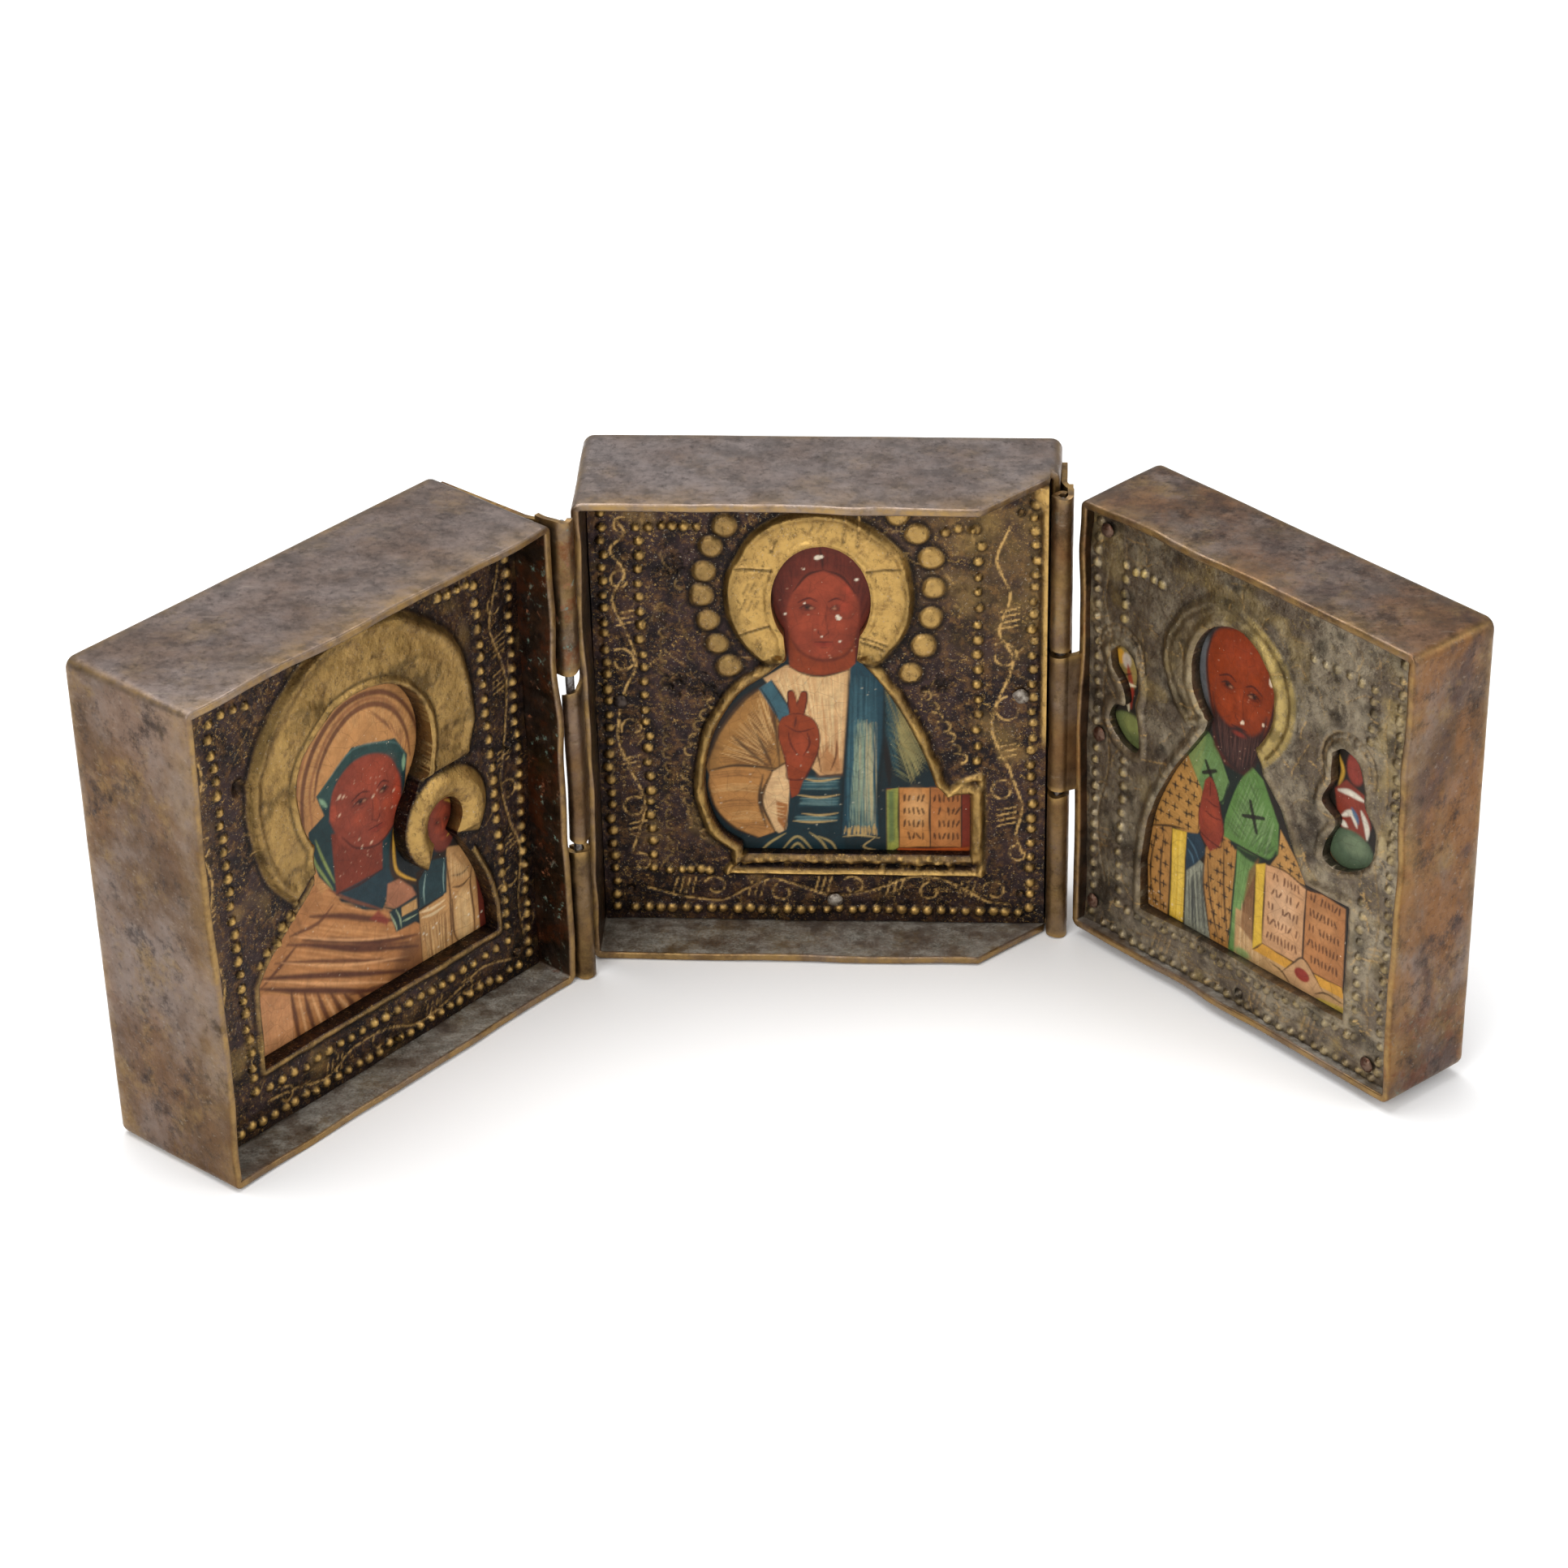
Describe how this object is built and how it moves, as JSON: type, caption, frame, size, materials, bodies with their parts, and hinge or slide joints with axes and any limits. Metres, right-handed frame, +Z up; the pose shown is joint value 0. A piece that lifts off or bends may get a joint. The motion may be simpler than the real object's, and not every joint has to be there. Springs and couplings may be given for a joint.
{
  "type": "travelling triptych altarpiece",
  "caption": "Small hinged brass triptych that stands open: a middle case and two folding wings, each with an embossed cover over a painted wooden panel.",
  "frame": {"origin": "middle of the underside of the middle case", "axes": "+Z up, -Y out of the front of the middle case, +X to its right as seen from the front"},
  "size_m": [0.1728, 0.0756, 0.07],
  "materials": {
    "case_brass": "brown patinated sheet brass with worn golden edges",
    "cover_dark": "embossed brass, near-black brown patina, gold where worn",
    "cover_grey": "embossed brass, worn grey",
    "painted_wood": "old paint and varnish on wood",
    "iron": "dull grey iron"
  },
  "bodies": {
    "centre": {"centre_case": "case_brass", "centre_cover": "cover_dark", "centre_panel": "painted_wood", "right_hinge_leaf": "case_brass", "right_hinge_wire": "iron", "centre_nail_left": "iron", "centre_nail_right": "iron", "centre_nail_bottom": "iron"},
    "left_wing": {"left_case": "case_brass", "left_cover": "cover_dark", "left_panel": "painted_wood", "left_hinge_leaf": "case_brass", "left_hinge_wire": "iron"},
    "right_wing": {"right_case": "case_brass", "right_cover": "cover_grey", "right_panel": "painted_wood", "right_nail_top_left": "iron", "right_nail_left": "iron", "right_nail_bottom_left": "iron", "right_nail_bottom_right": "iron"}
  },
  "joints": [
    {"name": "left_hinge", "type": "hinge", "parent": "centre", "child": "left_wing", "pos_m": [-0.032, -0.0137, 0.035], "axis": [0, 0, 1], "range_deg": [-50, 127.6]},
    {"name": "right_hinge", "type": "hinge", "parent": "centre", "child": "right_wing", "pos_m": [0.0316, -0.0016, 0.035], "axis": [0, 0, 1], "range_deg": [-133.8, 18]}
  ]
}
